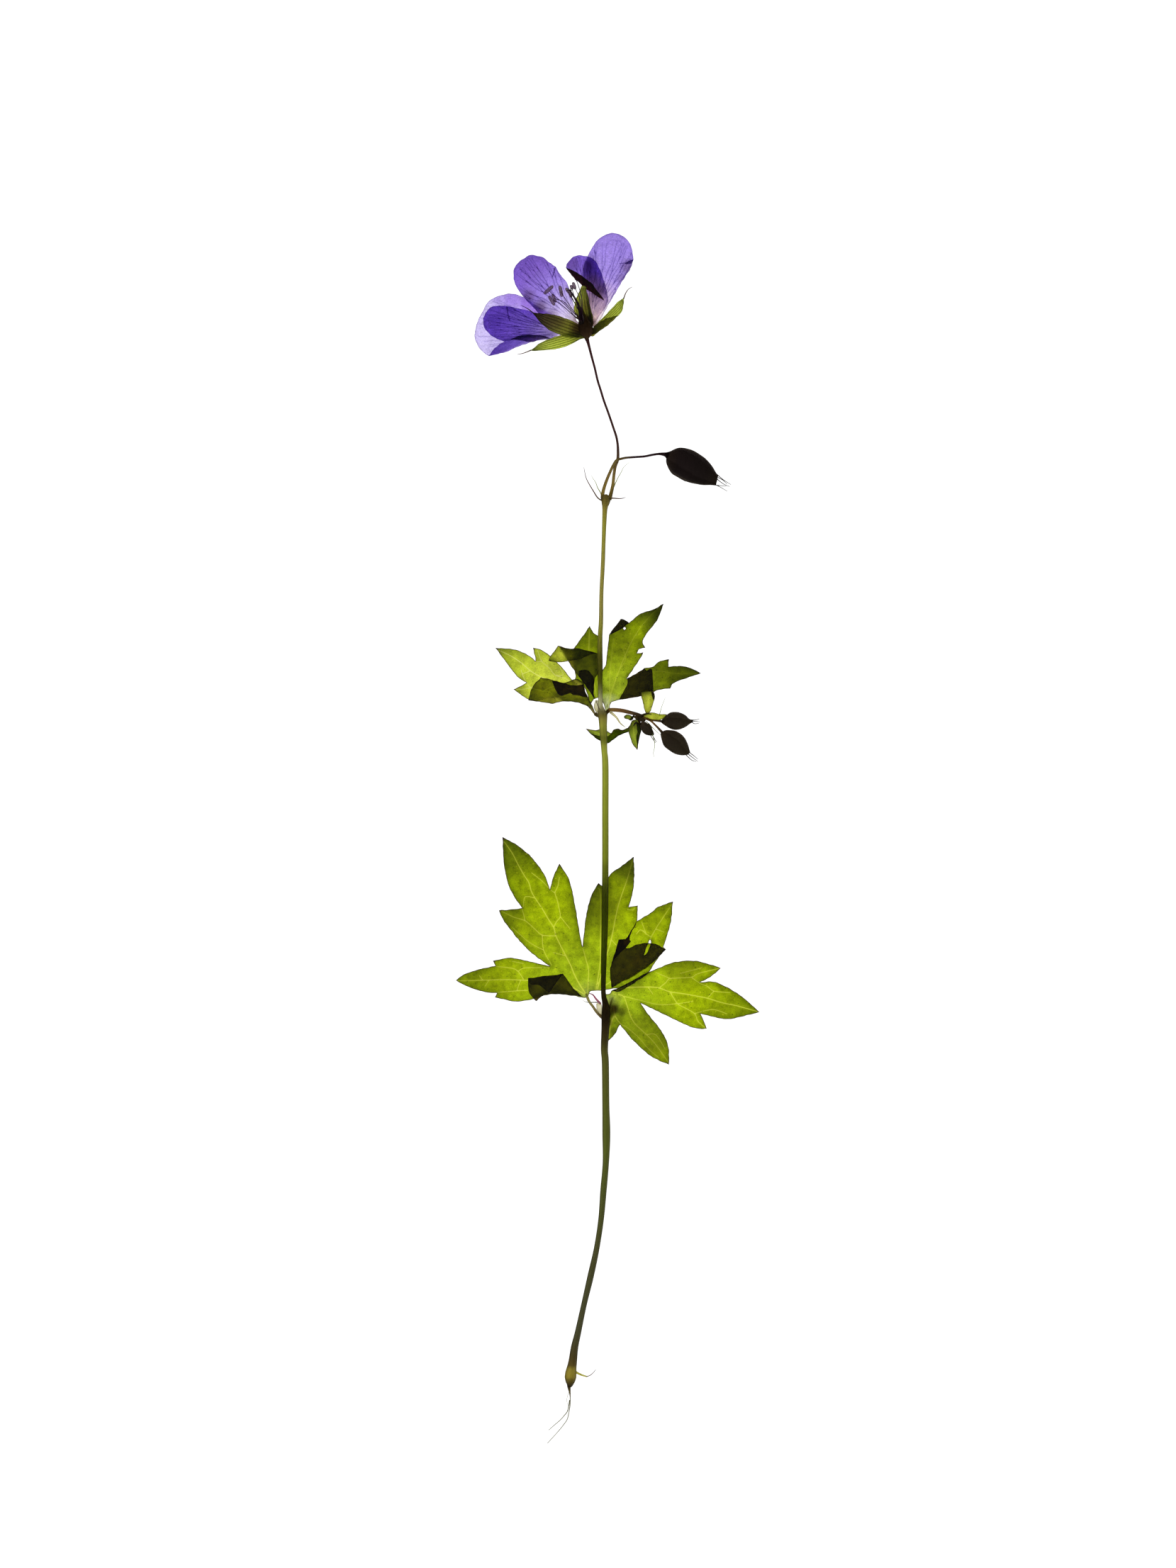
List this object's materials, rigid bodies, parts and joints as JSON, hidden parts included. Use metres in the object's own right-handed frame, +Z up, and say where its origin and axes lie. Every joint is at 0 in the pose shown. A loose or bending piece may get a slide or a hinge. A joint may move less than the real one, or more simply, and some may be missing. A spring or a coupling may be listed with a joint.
{
  "type": "cut stem of hardy geranium",
  "caption": "Cut flowering stem of a hardy geranium, pressed nearly flat, with an open violet flower, buds and paired lobed leaves.",
  "frame": {"origin": "on the surface that the stem lies on, midway along the stem and midway across the leaves", "axes": "+Y along the stem from its cut end towards the flower, +Z up from the surface, +X to the right seen from above with the flower away from the viewer"},
  "size_m": [0.0642, 0.2562, 0.005],
  "materials": {
    "stem": "green-brown stem, faintly ribbed",
    "stalk": "purple-brown stalk",
    "leaf": "thin yellow-green leaf with paler veins",
    "young_leaf": "thin green leaf with dark folds",
    "bud": "dark brown-green bud with awned sepals",
    "petal": "thin violet petal with dark veins and a pale base",
    "sepal": "yellow-green sepal with dark ribs",
    "stamen": "dark purple filament and grey-purple anther"
  },
  "bodies": {
    "root": {"stem": "stem", "flower_stalk": "stalk", "bud_stalk": "stalk", "lower_leaf_left": "leaf", "lower_leaf_right": "leaf", "upper_leaf_left": "leaf", "upper_leaf_right": "leaf", "side_shoot": "stalk", "side_leaf_1": "young_leaf", "side_leaf_2": "young_leaf", "side_leaf_3": "young_leaf", "side_leaf_4": "young_leaf", "top_bud": "bud", "side_bud_1": "bud", "side_bud_2": "bud", "side_bud_3": "bud", "petal_1": "petal", "petal_2": "petal", "petal_3": "petal", "petal_4": "petal", "petal_5": "petal", "calyx": "sepal", "stamens": "stamen"}
  },
  "joints": []
}
